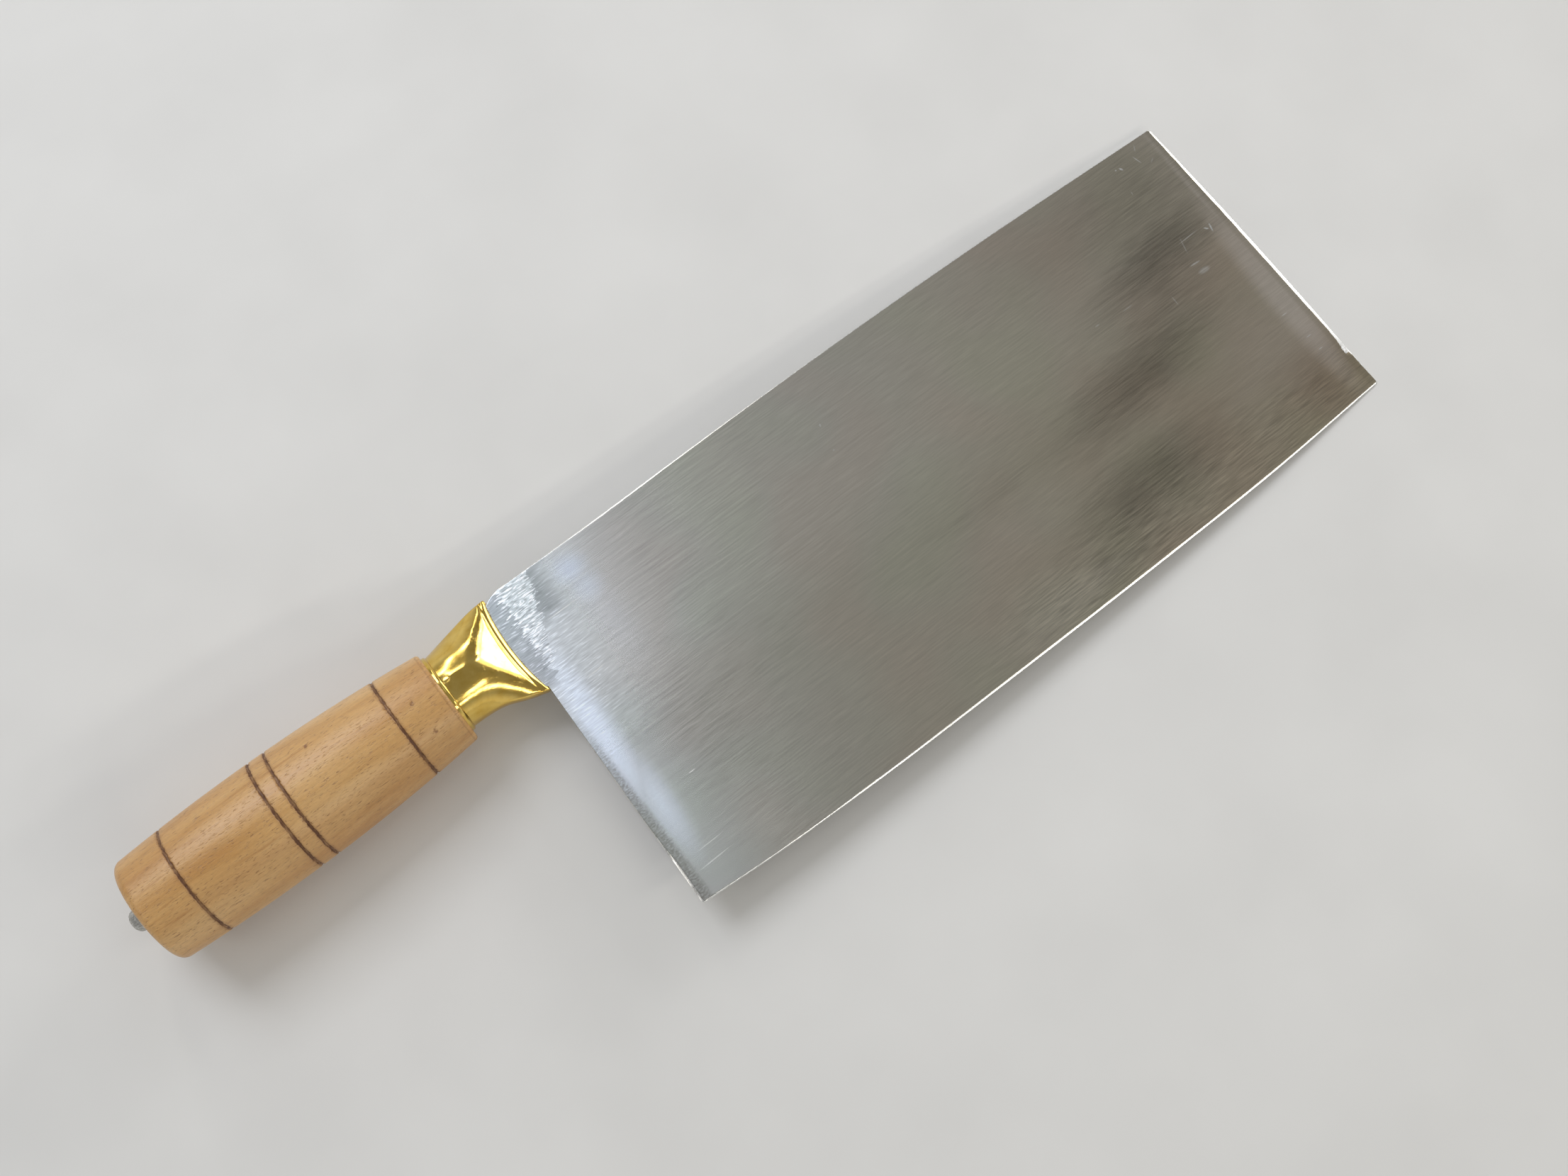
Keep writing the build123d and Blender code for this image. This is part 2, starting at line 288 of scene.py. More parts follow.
blade_faces += prism_faces(first, count, range(front_count - 1, count))
for n, (low, high) in enumerate(zip(joined, joined[1:])):
    blade_faces.append((first + n, first + n + 1, high, low))
    blade_faces.append((first + n + count + 1, first + n + count, low + lower, high + lower))
last = first + front_count - 1
blade_faces.append((joined[0], joined[0] + lower, first + count, first))
blade_faces.append((last, last + count, joined[-1] + lower, joined[-1]))
blade_finish += [1] * (len(blade_faces) - len(blade_finish))


def lay_down(name, mesh, crease):
    """Lays a mesh that was drawn in the knife's millimetres down in its place, as a finished piece."""
    mesh.transform(knife_frame)
    mesh.name = name
    mesh.polygons.foreach_set("use_smooth", [True] * len(mesh.polygons))
    mesh.set_sharp_from_angle(angle=math.radians(crease))
    mesh.update()
    piece = bpy.data.objects.new(name, mesh)
    bpy.context.scene.collection.objects.link(piece)
    return piece


def make_piece(name, points, faces, materials, face_materials=None, crease=40.0):
    """A finished piece from points in the knife's millimetres."""
    mesh = bpy.data.meshes.new(name)
    mesh.from_pydata(points, [], faces)
    for material in materials:
        mesh.materials.append(material)
    if face_materials:
        mesh.polygons.foreach_set("material_index", face_materials)
    return lay_down(name, mesh, crease)


def paint(colour):
    """An sRGB hex colour, turned to the linear values that a shader takes."""
    channels = [int(colour[place:place + 2], 16) / 255 for place in (1, 3, 5)]
    return tuple(c / 12.92 if c <= 0.04045 else ((c + 0.055) / 1.055) ** 2.4 for c in channels) + (1.0,)


def plug(tree, node, inputs):
    """Gives a node its inputs, by name or else in their order: each is a value, or what it is linked to."""
    inputs = inputs if isinstance(inputs, dict) else dict(enumerate(inputs))
    for name, value in inputs.items():
        if isinstance(value, bpy.types.Node):
            value = value.outputs[0]
        if isinstance(value, bpy.types.NodeSocket):
            tree.links.new(value, node.inputs[name])
        else:
            node.inputs[name].default_value = value


def add(tree, kind, inputs=(), operation=None, ramp=(), **settings):
    """Adds a node with its inputs, settings and ramp. A shader node's kind is given without its prefix."""
    node = tree.nodes.new(kind if "Node" in kind else "ShaderNode" + kind)
    if operation:
        settings["operation"] = operation
    for name, value in settings.items():
        setattr(node, name, value)
    plug(tree, node, inputs)
    for number, (position, colour) in enumerate(ramp):
        stops = node.color_ramp.elements
        stop = stops[number] if number < 2 else stops.new(position)
        stop.position, stop.color = position, paint(colour)
    return node


def new_finish(name):
    """A material with one shader, and the knife's own millimetres to draw its patterns in."""
    material = bpy.data.materials.new(name)
    material.use_nodes = True
    tree = material.node_tree
    tree.nodes.clear()
    ruler = add(tree, "Mapping", (
        add(tree, "TexCoord").outputs["Object"], wood_front, knife_axes.to_euler(), (millimetre,) * 3,
    ), vector_type="TEXTURE")
    shader = add(tree, "BsdfPrincipled")
    add(tree, "OutputMaterial", (shader,))
    return material, tree, ruler, shader


def mottle(tree, place, sizes, detail, roughness=0.5, warp=0.0):
    """An uneven pattern whose spots have a size in millimetres along each axis."""
    counted = add(tree, "VectorMath", (place, tuple(1 / size for size in sizes)), "MULTIPLY")
    return add(tree, "TexNoise", {
        "Vector": counted, "Scale": 1.0, "Detail": detail, "Roughness": roughness, "Distortion": warp,
    })


def drifted(tree, place, pattern, reach):
    """Coordinates that a pattern shifts to and fro within a reach, so that what they draw is ragged."""
    shift = add(tree, "VectorMath", (pattern.outputs["Color"], (0.5, 0.5, 0.5)), "SUBTRACT")
    return add(tree, "VectorMath", (shift, reach, place), "MULTIPLY_ADD")


def summed(tree, total, *parts):
    """A value, plus each pattern times its share."""
    for pattern, share in parts:
        total = add(tree, "Math", (pattern, share, total), "MULTIPLY_ADD")
    return total


def layered(tree, base, *layers, blend="MIX"):
    """A base colour under layers, each with its strength and its colour."""
    for strength, colour in layers:
        colours = {0: strength, 6: base, 7: paint(colour) if isinstance(colour, str) else colour}
        base = add(tree, "Mix", colours, data_type="RGBA", blend_type=blend).outputs[2]
    return base


# Belt-ground stainless steel: a soft grey sheen with fine lines along the blade, which spread each highlight
# across them. The real lines are about 0.05 mm apart, too fine for the render, and are drawn 0.4 mm wide.
ground_steel, tree, ruler, shader = new_finish("belt_ground_stainless_steel")
level = add(tree, "VectorMath", (ruler, (1, 1, 0)), "MULTIPLY")
along, upward, _ = add(tree, "SeparateXYZ", (ruler,)).outputs


def streaks(length, width, detail, warp=0.0):
    """Lines along the blade, of a typical length and width in millimetres, from -1 to 1."""
    lines = mottle(tree, level, (length, width, 1.0), detail, 0.55, warp)
    return add(tree, "MapRange", (lines, 0.32, 0.68, -1.0, 1.0))


def area(strength, *sides):
    """A strength that fades past soft sides, each given as a value with its empty and its full end."""
    for side in sides:
        side = add(tree, "MapRange", side, interpolation_type="SMOOTHSTEP")
        strength = add(tree, "Math", (strength, side), "MULTIPLY")
    return strength


oval_end = 1.25


def spots(coordinates, full, *ovals):
    """The strongest of some soft ovals: x, y, half length, half height, tilt and strength of each."""
    strongest = 0.0
    for x, y, half_length, half_height, tilt, strength in ovals:
        oval = add(tree, "Mapping", (
            coordinates, (x, y, 0), (0, 0, math.radians(tilt)), (half_length, half_height, 1),
        ), vector_type="TEXTURE")
        oval = add(tree, "VectorMath", (oval,), "LENGTH").outputs["Value"]
        oval = add(tree, "MapRange", (oval, oval_end, full, 0.0, strength), interpolation_type="SMOOTHSTEP")
        strongest = add(tree, "Math", (strongest, oval), "MAXIMUM")
    return strongest


# From the heel to the front end the colour turns from a cool silver to a duller and warmer grey: partly the
# polish, partly painted reflection. Its brightest, bluish part a little way in front of the ferrule is a
# painted highlight. The colour is also a little darker towards the cutting edge.
base = add(tree, "MapRange", (along, 20.0, 250.0))
base = add(tree, "ValToRGB", (base,), ramp=(
    (0.0, "#d0d7df"), (0.05, "#d8dee5"), (0.11, "#edf1f4"), (0.2, "#e6e8e7"), (0.31, "#e6e6e0"),
    (0.45, "#e4e2da"), (0.62, "#dfdace"), (0.8, "#d7d0c3"), (0.94, "#d5ccbe"), (1.0, "#ddd5c6"),
))
towards_edge = add(tree, "MapRange", (upward, 14.0, -84.0))
towards_edge = add(tree, "ValToRGB", (towards_edge,), ramp=(
    (0.0, "#ffffff"), (0.35, "#fbfaf6"), (0.55, "#eeebe3"), (1.0, "#e6e1d6"),
))
cloud = mottle(tree, ruler, (35.71,) * 3, 1.0)
cloud = add(tree, "ValToRGB", (cloud,), ramp=((0.36, "#f5f7f1"), (0.5, "#f6f5f2"), (0.64, "#f8f3f0")))

# Soft dark patches on the front half of the cheek, ragged along the lines: dull smudges with painted dark
# reflections in them. Also paler and browner places.
drift = drifted(tree, level, mottle(tree, level, (33.33, 5.0, 1.0), 4.0, 0.6), (22.0, 6.0, 0.0))
smudge_and_dark_reflection = spots(
    drift, 0.0,
    (226, -17, 30, 12.5, 12, 0.50), (234, -2, 30, 22, 6, 0.22), (200, -40, 38, 11, 9, 0.42),
    (218, -30, 28, 12, 14, 0.26), (180, -65, 32, 12, 2, 0.44), (163, -76, 20, 7, 2, 0.28),
    (150, -42, 34, 3, 1, 0.08), (44, -42, 15, 28, 0, 0.17),
)
warm = spots(drift, 0.0, (240, -71, 20, 14, 0, 0.50), (205, 3, 34, 16, 0, 0.12))
pale = spots(drift, 0.0, (147, -54, 26, 9, 0, 0.10), (142, -78, 24, 6, 2, 0.16), (236, -58, 26, 24, 0, 0.22))
pale_strip = spots(level, 0.3, (245.5, -44, 5, 34, -2, 0.55), (247.6, -20, 1.4, 46, 0, 0.35))
beside_bevel = area(0.14, (along, 247.2, 248.2))

# The belt stopped short of the ferrule: there the grinding is coarser. Bluish-white painted highlights lie
# on the cheek beside the ferrule and in a band across the heel.
ragged = summed(tree, along, (streaks(2.0, 1.1, 2.0), 1.2))
coarse = area(1.0, (along, 46.0, 30.0), (upward, -46.0, -14.0))
painted_highlights = spots(
    level, 0.0,
    (43.6, 8.4, 5.6, 5, 0, 0.95), (44.6, 2, 5, 6, 0, 0.60), (45, -8, 6.5, 16, 0, 0.15),
    (24.9, -30, 5.2, 28, -3, 0.95), (26.2, -54, 4.8, 18, -3, 0.60),
)

# A patch of chatter marks beside the ferrule, with a slanting end. The darker strips before and behind it,
# and the streaked strip along the heel, are painted shade.
past_slant = summed(tree, ragged, (upward, -0.36))
patch = area(1.0, (past_slant, 29.95, 29.25), (ragged, 23.6, 24.6), (upward, -12.5, -8.0))
painted_shade_behind_patch = area(0.6, (past_slant, 29.2, 30.0), (along, 41.0, 33.0), (upward, -2.0, 4.0))
painted_shade_by_mouth = area(0.52, (ragged, 25.2, 24.2), (upward, -16.0, -11.0))
heel_strip = summed(tree, 0.45, (streaks(0.8, 0.45, 2.0), 0.30))
heel_strip = area(heel_strip, (along, 23.6, 21.6), (upward, -16.0, -46.0))

# Single scuffs and nicks, most of them near the front end.
scuffs = spots(
    level, 0.4,
    (234.8, 9.1, 0.7, 0.35, -60, 1.0), (233.3, 9.7, 0.3, 0.3, 0, 0.7), (240.4, 8.6, 1.6, 0.22, -75, 0.65),
    (242.2, 11.8, 1.2, 0.2, 60, 0.4), (243.8, 6, 1, 0.2, 30, 0.35), (232.4, 1.7, 0.7, 0.18, 80, 0.35),
    (233.6, -19, 2.6, 0.2, 75, 0.35), (236.5, -17.8, 3.4, 0.2, 2, 0.4), (242.3, -18.9, 0.8, 0.3, -45, 0.9),
    (243.6, -19.4, 1.4, 0.3, 75, 1.0), (232.6, -25, 1.8, 0.3, -5, 0.55), (233.4, -28, 2, 0.9, -3, 0.42),
    (220.6, -30, 1.6, 0.2, 88, 0.32), (208.5, -23.8, 1.9, 0.2, 0, 0.32), (198.3, -22.7, 0.8, 0.25, 0, 0.4),
    (242.6, -51.3, 1, 0.18, 0, 0.6), (243.8, -60.1, 1, 0.18, 0, 0.6), (244, -64.8, 0.8, 0.18, 0, 0.5),
    (119.6, 0.2, 0.5, 0.28, 70, 0.8), (118.2, -7.4, 0.35, 0.25, 0, 0.55), (37, -52.3, 1.1, 0.18, 0, 0.7),
    (36.5, 0.7, 5.5, 0.16, 0, 0.55), (33.5, -17.3, 3, 0.16, 3, 0.55), (28.5, -73, 4.5, 0.2, 1, 0.5),
    (30, -69, 4, 0.16, 0, 0.4),
)

# The lines: fine and long ones all over, stronger in the smudges and painted dark reflections; dashes and
# chatter where it is coarse.
fine, long_lines = streaks(8.0, 0.46, 2.0), streaks(26.0, 0.55, 3.0)
dashes, chatter = streaks(4.0, 0.46, 2.0, 0.3), streaks(2.2, 0.42, 1.5, 0.7)
# Painted glints: whitish marks on the chatter in the patch and on the dashes where the grinding is coarse.
glint = area(0.9, (chatter, 0.15, 0.75), (patch, 0.0, 1.0))
painted_dash_glints = area(0.32, (dashes, 0.4, 0.95), (coarse, 0.0, 1.0))
edge_lines = area(0.14, (upward, -62.0, -74.0), (along, 110.0, 145.0))
heel_lines = area(0.035, (along, 125.0, 55.0), (upward, -50.0, -15.0))
texture = summed(
    tree, 1.0, (fine, summed(tree, 0.042, (smudge_and_dark_reflection, 0.26), (edge_lines, 1.0))),
    (long_lines, summed(tree, 0.028, (smudge_and_dark_reflection, 0.24), (heel_lines, 1.0))),
    (dashes, summed(tree, 0.0, (coarse, 0.19))), (chatter, summed(tree, 0.0, (patch, 0.36))),
)
base = layered(tree, base, (1.0, towards_edge), (1.0, cloud), blend="MULTIPLY")
base = layered(
    tree, base, (smudge_and_dark_reflection, "#3d3a30"), (warm, "#8f7759"), (pale, "#e6ddd4"), (pale_strip, "#eee4da"),
    (beside_bevel, "#7a7250"), (painted_highlights, "#eaf2ff"), (painted_shade_behind_patch, "#7e8283"), (painted_shade_by_mouth, "#82868a"),
    (heel_strip, "#77736a"), (glint, "#f7faff"), (painted_dash_glints, "#f7faff"), (scuffs, "#f4f3ee"),
)
relief = summed(tree, 0.0, (dashes, coarse), (chatter, patch), (chatter, patch))
plug(tree, shader, {
    "Base Color": layered(tree, base, (1.0, texture), blend="MULTIPLY"),
    "Roughness": summed(tree, 0.25, (coarse, 0.07), (smudge_and_dark_reflection, 0.05), (fine, 0.012), (patch, 0.06)),
    "Normal": add(tree, "Bump", {"Height": relief, "Strength": 0.25, "Distance": 0.000015}),
    "Tangent": add(tree, "Tangent", direction_type="UV_MAP", uv_map="across_the_lines"),
    "Metallic": 1.0, "Anisotropic": 0.88,
})

# Honed stainless steel: the bevels and the rims, cut after the cheeks, are brighter, with lines across them.
honed_steel, tree, ruler, shader = new_finish("honed_stainless_steel")
hone_lines = mottle(tree, ruler, (0.625, 0.625, 0.1667), 3.0)
plug(tree, shader, {
    "Base Color": add(tree, "ValToRGB", (hone_lines,), ramp=((0.3, "#cfcdc8"), (0.7, "#eeeeec"))),
    "Roughness": add(tree, "MapRange", (hone_lines, 0.0, 1.0, 0.2, 0.36)),
    "Metallic": 1.0,
})

# The lines run along the blade near the spine and turn a few degrees down towards the cutting edge. The map's
# first axis crosses them, and the sheet's thickness slants it, so that no face has a map without an area.
lines_turn = math.tan(math.radians(4.0))
lines_turn_over = 35.0
map_size = 100.0
blade_materials = [ground_steel, honed_steel]
blade = make_piece("blade_of_steel", blade_points, blade_faces, blade_materials, blade_finish, 25.0)
across_map = blade.data.uv_layers.new(name="across_the_lines")
for loop in blade.data.loops:
    x, y, z = blade_points[loop.vertex_index]
    below = min(max(-y / lines_turn_over, 0.0), 1.0)
    bend = lines_turn * (below * below / 2 * lines_turn_over + max(-y - lines_turn_over, 0.0))
    across_map.data[loop.index].uv = (y + z / 2) / map_size, (x + bend + z / 1.5) / map_size
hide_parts("blade")
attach(blade, "root")


# Tang
# A round bar of mild steel, slotted and welded over the blade's tongue. It runs through the handle and is
# hammered over a washer at the butt, which leaves a dented head with a short dull stub.

tang_radius = 3.0
tang_profile = [(-91.3, 0.0), (-91.3, 1.1), (-91.15, 1.7), (-90.8, 2.3), (-90.3, 2.75), (-89.7, 2.95)]
tang_profile += [(-89.45, 3.05), (-89.3, 3.25), (-89.0, 3.5), (-88.5, 3.68), (-88.1, 3.7), (-87.82, 3.65)]
tang_profile += [(-87.8, tang_radius), (-80.0, tang_radius), (5.9, tang_radius), (5.9, 0.0)]
tang_steps = 48
dent_depth, dent_width, dented_up_to_x = 0.16, 1.5, -87.0


def new_tree(name, taken, inputs, made):
    """A geometry tree that takes one geometry and makes another; its given inputs, and their identifiers."""
    tree = bpy.data.node_groups.new(name, "GeometryNodeTree")
    tree.interface.new_socket(taken, in_out="INPUT", socket_type="NodeSocketGeometry")
    identifiers = {
        key: tree.interface.new_socket(key, in_out="INPUT", socket_type="NodeSocket" + kind).identifier
        for key, kind in inputs.items()
    }
    tree.interface.new_socket(made, in_out="OUTPUT", socket_type="NodeSocketGeometry")
    return tree, add(tree, "NodeGroupInput").outputs, identifiers


# The lathe: every point of a profile, given as place along the axis and radius, is turned round the axis.
lathe, given, lathe_inputs = new_tree("turned_on_a_lathe", "Profile", {
    "Profile points": "Int", "Steps round": "Int", "Dent depth": "Float", "Dent width": "Float",
    "Dented up to": "Float", "Finish": "Material",
}, "Solid")
round_points = add(lathe, "FunctionNodeIntegerMath", (given["Steps round"], 1), "ADD")
grid = add(lathe, "GeometryNodeMeshGrid", {"Vertices X": given["Profile points"], "Vertices Y": round_points})
index = add(lathe, "GeometryNodeInputIndex")
profile_index = add(lathe, "FunctionNodeIntegerMath", (index, round_points), "DIVIDE_FLOOR")
round_index = add(lathe, "FunctionNodeIntegerMath", (index, round_points), "MODULO")
position = add(lathe, "GeometryNodeInputPosition")
profile_point = add(lathe, "GeometryNodeSampleIndex", {
    "Geometry": given["Profile"], "Value": position, "Index": profile_index,
}, data_type="FLOAT_VECTOR")
profile_x, profile_radius, _ = add(lathe, "SeparateXYZ", (profile_point,)).outputs
turn = add(lathe, "Math", (round_index, given["Steps round"]), "DIVIDE")
turn = add(lathe, "Math", (turn, math.tau), "MULTIPLY")
turned_y, turned_z = (
    add(lathe, "Math", (profile_radius, add(lathe, "Math", (turn,), wave)), "MULTIPLY")
    for wave in ("COSINE", "SINE")
)
turned = add(lathe, "CombineXYZ", (profile_x, turned_y, turned_z))
solid = add(lathe, "GeometryNodeSetPosition", {"Geometry": grid, "Position": turned})
solid = add(lathe, "GeometryNodeMergeByDistance", {"Geometry": solid, "Distance": 0.0005})
solid = add(lathe, "GeometryNodeFlipFaces", {"Mesh": solid})
dent_count = add(lathe, "Math", (1.0, given["Dent width"]), "DIVIDE")
dents = add(lathe, "TexVoronoi", {"Vector": position, "Scale": dent_count}, feature="SMOOTH_F1")
place_x = add(lathe, "SeparateXYZ", (position,)).outputs["X"]
hammered = add(lathe, "FunctionNodeCompare", (place_x, given["Dented up to"]), "LESS_THAN")
sink = add(lathe, "Math", (dents.outputs["Distance"], given["Dent depth"]), "MULTIPLY")
sink = add(lathe, "Math", (sink, -1.0), "MULTIPLY")
normal = add(lathe, "GeometryNodeInputNormal")
offset = add(lathe, "VectorMath", {0: normal, "Scale": sink}, "SCALE")
solid = add(lathe, "GeometryNodeSetPosition", {"Geometry": solid, "Selection": hammered, "Offset": offset})
solid = add(lathe, "GeometryNodeRealizeInstances", {"Geometry": solid})
solid = add(lathe, "GeometryNodeSetMaterial", {"Geometry": solid, "Material": given["Finish"]})
add(lathe, "NodeGroupOutput", {"Solid": solid})


def turned_mesh(name, profile, steps, finish, dents=(0.0, 1.0, -1000.0), more=()):
    """Turns a profile on the lathe, runs any further trees on it and gives the plain mesh, in millimetres."""
    mesh = bpy.data.meshes.new(name)
    mesh.from_pydata([(x, radius, 0.0) for x, radius in profile], [], [])
    draft = bpy.data.objects.new(name + "_draft", mesh)
    bpy.context.scene.collection.objects.link(draft)
    lathe_values = dict(zip(lathe_inputs.values(), (len(profile), steps, *dents, finish)))
    for tree, values in ((lathe, lathe_values), *more):
        modifier = draft.modifiers.new(tree.name, "NODES")
        modifier.node_group = tree
        for identifier, value in values.items():
            modifier[identifier] = value
    evaluated = draft.evaluated_get(bpy.context.evaluated_depsgraph_get())
    result = bpy.data.meshes.new_from_object(evaluated)
    draft.modifiers.clear()
    bpy.data.objects.remove(draft)
    return result


# Drawn mild steel, cut with a saw and hammered: grey, with faint drawing lines and dull dents.
drawn_steel, tree, ruler, shader = new_finish("drawn_mild_steel")
skin = mottle(tree, ruler, (1.25, 0.4545, 0.4545), 5.0, 0.6)
base = add(tree, "ValToRGB", (skin,), ramp=((0.3, "#8d8a84"), (0.55, "#b9b7b1"), (0.7, "#d5d4d0")))
plug(tree, shader, {
    "Base Color": base,
    "Roughness": add(tree, "MapRange", (skin, 0.0, 1.0, 0.5, 0.25)),
    "Normal": add(tree, "Bump", {"Height": skin, "Strength": 0.4, "Distance": 0.0001}),
    "Metallic": 1.0,
})

dent_values = (dent_depth, dent_width, dented_up_to_x)
tang = lay_down("tang_rod", turned_mesh("tang", tang_profile, tang_steps, drawn_steel, dent_values), 40.0)
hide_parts("tang")
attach(tang, "root")

# Two prongs of the slotted end lie against the tongue, one on each cheek, and carry the weld.
prong_ends = (5.9, 14.0)
prong_steps, prong_gap = 12, 0.02
prong_half = math.acos((tongue_half_thickness + prong_gap) / tang_radius)
prong_points, prong_faces = [], []
for side in (1, -1):
    angles = [-prong_half + 2 * prong_half * step / prong_steps for step in range(prong_steps + 1)]
    prong_faces += prism_faces(len(prong_points), len(angles), range(len(angles)))
    prong_points += [
        (x, side * tang_radius * math.sin(angle), side * tang_radius * math.cos(angle))
        for x in prong_ends for angle in angles
    ]
prongs = make_piece("tang_prongs", prong_points, prong_faces, [drawn_steel])
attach(prongs, "root")


# Ferrule
# One hollow casting of yellow brass, linished and polished: round where it meets the wood, with a soft ridge
# on each cheek that forks into two horns, and a dished shoulder that ends in a thin rolled lip on the blade.

ferrule_stations = [
    # x, height of the middle ridge, reach to the spine, reach to the edge, fullness of the four sides
    (0.0, 10.25, 10.8, 9.8, 0.180),
    (4.0, 9.80, 11.6, 9.8, 0.150),
    (10.3, 8.90, 13.0, 10.4, 0.085),
    (16.5, 7.60, 14.3, 12.8, 0.050),
    (21.4, 6.40, 14.7, 14.3, 0.030),
]
station_steps = 40
ferrule_middle = 0.5
flank_half_width, flank_swell, flank_steps = 1.9, 0.228, 6
flank_least_share = 0.9
lip_height = 2.0
shoulder_slope = (mouth_middle_x - 10.3) / (8.9 - lip_height)
shoulder_softness = 1.5
ridge_rise, ridge_half_width, ridge_y, ridge_grows_over = 0.26, 0.75, 1.3, (1.0, 3.5)
lip_groove_depth, lip_groove_place, lip_groove_width = 0.22, 1.5, 0.42
lip_groove_fades_over = (6.0, 4.5)
lip_round, lip_round_at_horns, lip_least_share = 0.5, 0.4, 0.7
horn_y, horn_reach_y, horn_end_y = 13.0, 14.0, 14.6
ring_radius, ring_length, ring_round = 11.1, 1.1, 0.66
slot_half_height, slot_half_width = 13.45, 1.30
slot_depth_x, slot_depth_half_height = 17.0, 11.0
bore_radius, bore_front_x = 7.6, 6.0
ferrule_columns, ferrule_samples, polish_passes = 150, 420, 7
casting_wave, casting_wave_length, casting_wave_start, casting_wave_in_height = 0.003, 5.0, 31.0, 0.4
crest_shift, crest_width = 0.35, 1.1
crest_from_mouth, crest_from_ridge = (1.5, 3.0), (0.8, 2.8)
ring_places = (0.0, 0.15, 0.3, 0.44, 0.58, 0.7, 0.82, 0.92, 1.0, 1.06, 1.0999, 1.14, 1.3, 1.55, 1.85, 2.2)
body_step, body_steps, lip_steps = 0.33, 45, 16

ferrule_table = curve_through(ferrule_stations, station_steps)


def ferrule_sizes(x):
    """The sizes of the ferrule's cross-section at a place along it."""
    for before, after in zip(ferrule_table, ferrule_table[1:]):
        if x <= after[0]:
            part = (x - before[0]) / (after[0] - before[0])
            return [a + (b - a) * part for a, b in zip(before, after)]
    return ferrule_table[-1]


def mouth_x(y):
    """Where the mouth's bowed line lies, in front of the wood."""
    return mouth_middle_x + mouth_radius - math.sqrt(mouth_radius**2 - y * y)


def side_circle(start, end, fullness):
    """Middle and radius of the arc that swells outwards between two corners of a cross-section."""
    across = (end[0] - start[0], end[1] - start[1])
    chord = math.hypot(*across)
    rise = chord * fullness
    radius = (chord * chord / 4 + rise * rise) / (2 * rise)
    back = (radius - rise) / chord
    return (start[0] + end[0]) / 2 + across[1] * back, (start[1] + end[1]) / 2 - across[0] * back, radius


def ferrule_heights(x, y):
    """Height of the ferrule's long sides and of its shoulder at a place, each without the other."""
    _, ridge, reach_up, reach_down, fullness = ferrule_sizes(max(x, 0.0))
    top = (ferrule_middle, ridge)
    if y > ferrule_middle:
        middle_y, middle_z, radius = side_circle(top, (reach_up, flank_half_width), fullness)
    else:
        middle_y, middle_z, radius = side_circle((-reach_down, flank_half_width), top, fullness)
    height = middle_z + math.sqrt(max(radius**2 - (y - middle_y) ** 2, 0.0))
    ridge_share = math.exp(-(((y - ridge_y) / ridge_half_width) ** 2)) * smooth_between(*ridge_grows_over, x)
    shoulder = lip_height + (math.hypot(x - mouth_middle_x - mouth_radius, y) - mouth_radius) / shoulder_slope
    return height + ridge_rise * ridge_share, shoulder


def half_circle(x, middle, radius):
    """The upper half of a round ring."""
    angles = [math.pi * n / ferrule_columns for n in range(ferrule_columns + 1)]
    return [(x, middle + radius * math.cos(angle), radius * math.sin(angle)) for angle in angles]


def ferrule_flank(share, reach, way):
    """The narrow side of a ring, from its middle up, with a slight swell."""
    steps = [step / flank_steps for step in range(flank_steps + 1)]
    x = share * mouth_x(reach)
    return [(x, way * (reach + flank_swell * (1 - step**2)), flank_half_width * step) for step in steps]


def ferrule_half_ring(share):
    """The upper half of one ring of the outside, at a share of the way from the wood to the mouth."""
    x = share * mouth_middle_x
    if x < ring_length:
        into_round = max(x - ring_length + ring_round, 0.0) / ring_round
        sink = ring_round * (1 - math.sqrt(max(1 - into_round**2, 0.0)))
        return half_circle(x, ferrule_middle, ring_radius - sink)
    _, _, top, bottom, _ = ferrule_sizes(share * mouth_x(horn_reach_y))
    outline = ferrule_flank(share, top, 1)
    for step in range(1, ferrule_samples):
        # The samples stand closer together near both flanks, where the surface is steep.
        part = (1 - math.cos(math.pi * step / ferrule_samples)) / 2
        y = top + (-bottom - top) * part
        x = share * mouth_x(y)
        long_side, shoulder = ferrule_heights(x, y)
        height = min(long_side, shoulder)
        height -= max(shoulder_softness - abs(long_side - shoulder), 0.0) ** 2 / (4 * shoulder_softness)
        into_groove = (mouth_x(y) - x - lip_groove_place) / lip_groove_width
        groove = lip_groove_depth * math.exp(-(into_groove**2))
        height -= groove * smooth_between(*lip_groove_fades_over, abs(height))
        outline.append((x, y, max(height, flank_half_width * flank_least_share)))
    outline += reversed(ferrule_flank(share, bottom, -1))
    ring = spaced(outline, [n / ferrule_columns for n in range(ferrule_columns + 1)])
    for _ in range(polish_passes):
        before, after = ((x, y, -z) for x, y, z in (ring[1], ring[-2]))
        neighbours = zip([before] + ring[:-1], ring, ring[1:] + [after])
        ring = [tuple((a + 2 * b + c) / 4 for a, b, c in zip(*three)) for three in neighbours]
    rounded = []
    for x, y, z in ring:
        to_mouth = min(max(mouth_x(min(max(y, -horn_end_y), horn_end_y)) - x, 0.0), lip_round)
        turn_in = lip_round - math.sqrt(lip_round**2 - (lip_round - to_mouth) ** 2)
        wave = uneven(x + casting_wave_start, y, z * casting_wave_in_height, casting_wave_length)
        wave = 1 + casting_wave * wave
        from_horn = math.copysign(turn_in * lip_round_at_horns, y) if abs(y) > horn_y else 0.0
        y = ferrule_middle + (y - ferrule_middle) * wave - from_horn
        rounded.append((x, y, max(z * wave - turn_in, z * lip_least_share)))
    return rounded


